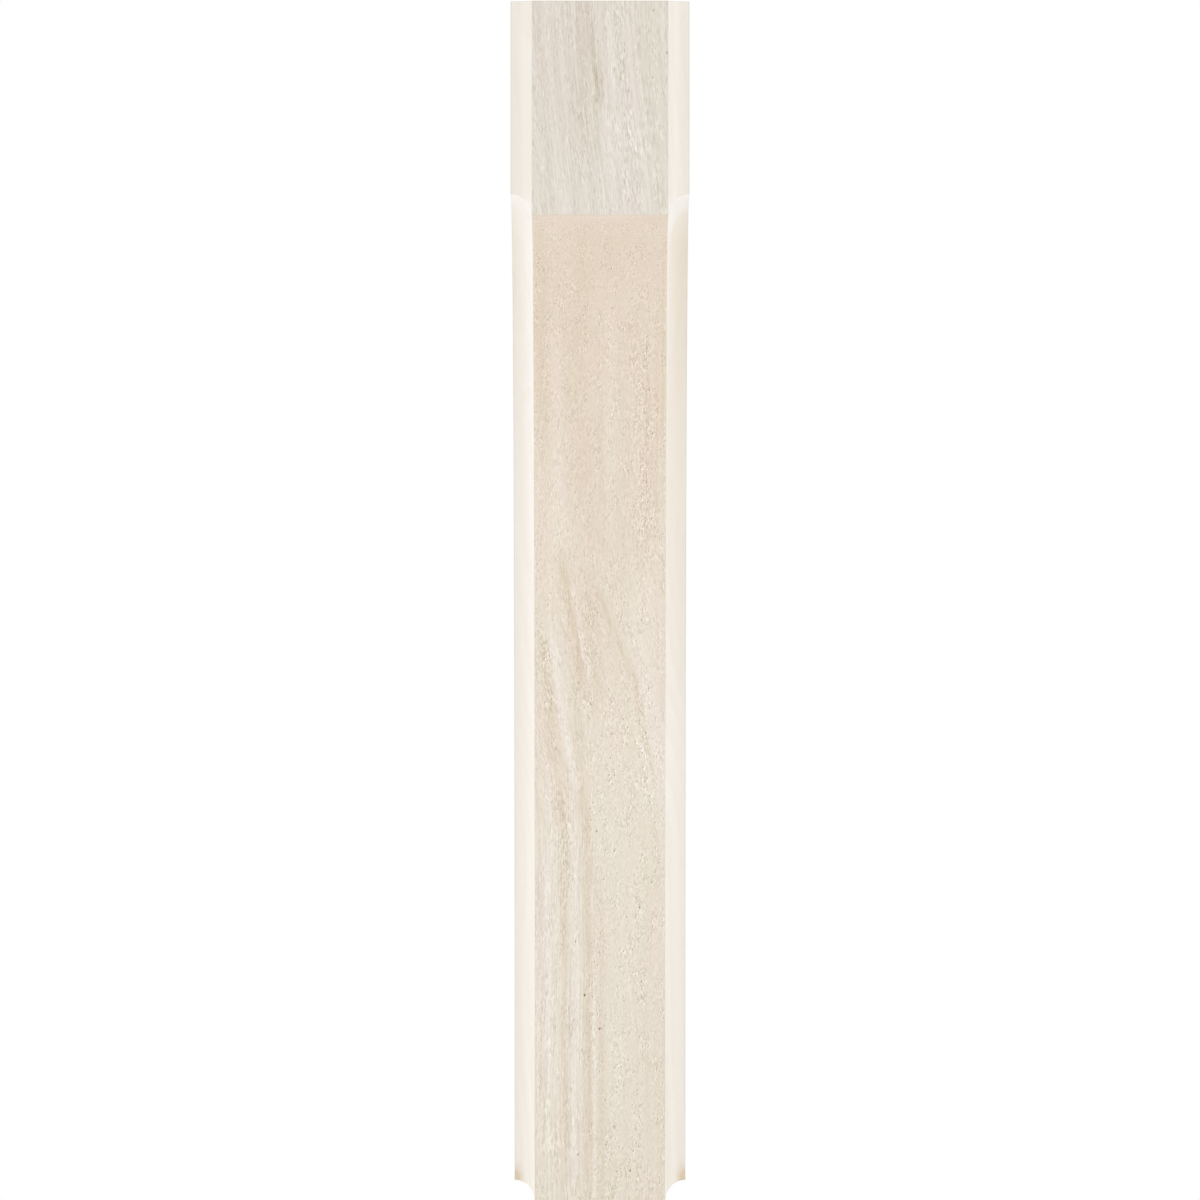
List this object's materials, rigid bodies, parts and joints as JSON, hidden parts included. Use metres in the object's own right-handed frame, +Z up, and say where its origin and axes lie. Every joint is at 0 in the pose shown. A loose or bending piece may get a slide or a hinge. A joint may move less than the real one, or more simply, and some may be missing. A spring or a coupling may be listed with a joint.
{
  "type": "wooden bracket",
  "caption": "Thick wooden corbel bracket with a square nose, a quarter-circle hollow underside and coves along its front edges.",
  "frame": {"origin": "centre of the flat wall face, where the bracket is fixed", "axes": "+Y points out of the wall face into the wall, the bracket reaches forward along -Y, +Z is up, and +X is across the timber's thickness"},
  "size_m": [0.0888, 0.6096, 0.6096],
  "materials": {
    "wood": "smooth planed and sanded, unfinished"
  },
  "bodies": {
    "root": {"bracket": "wood"}
  },
  "joints": []
}
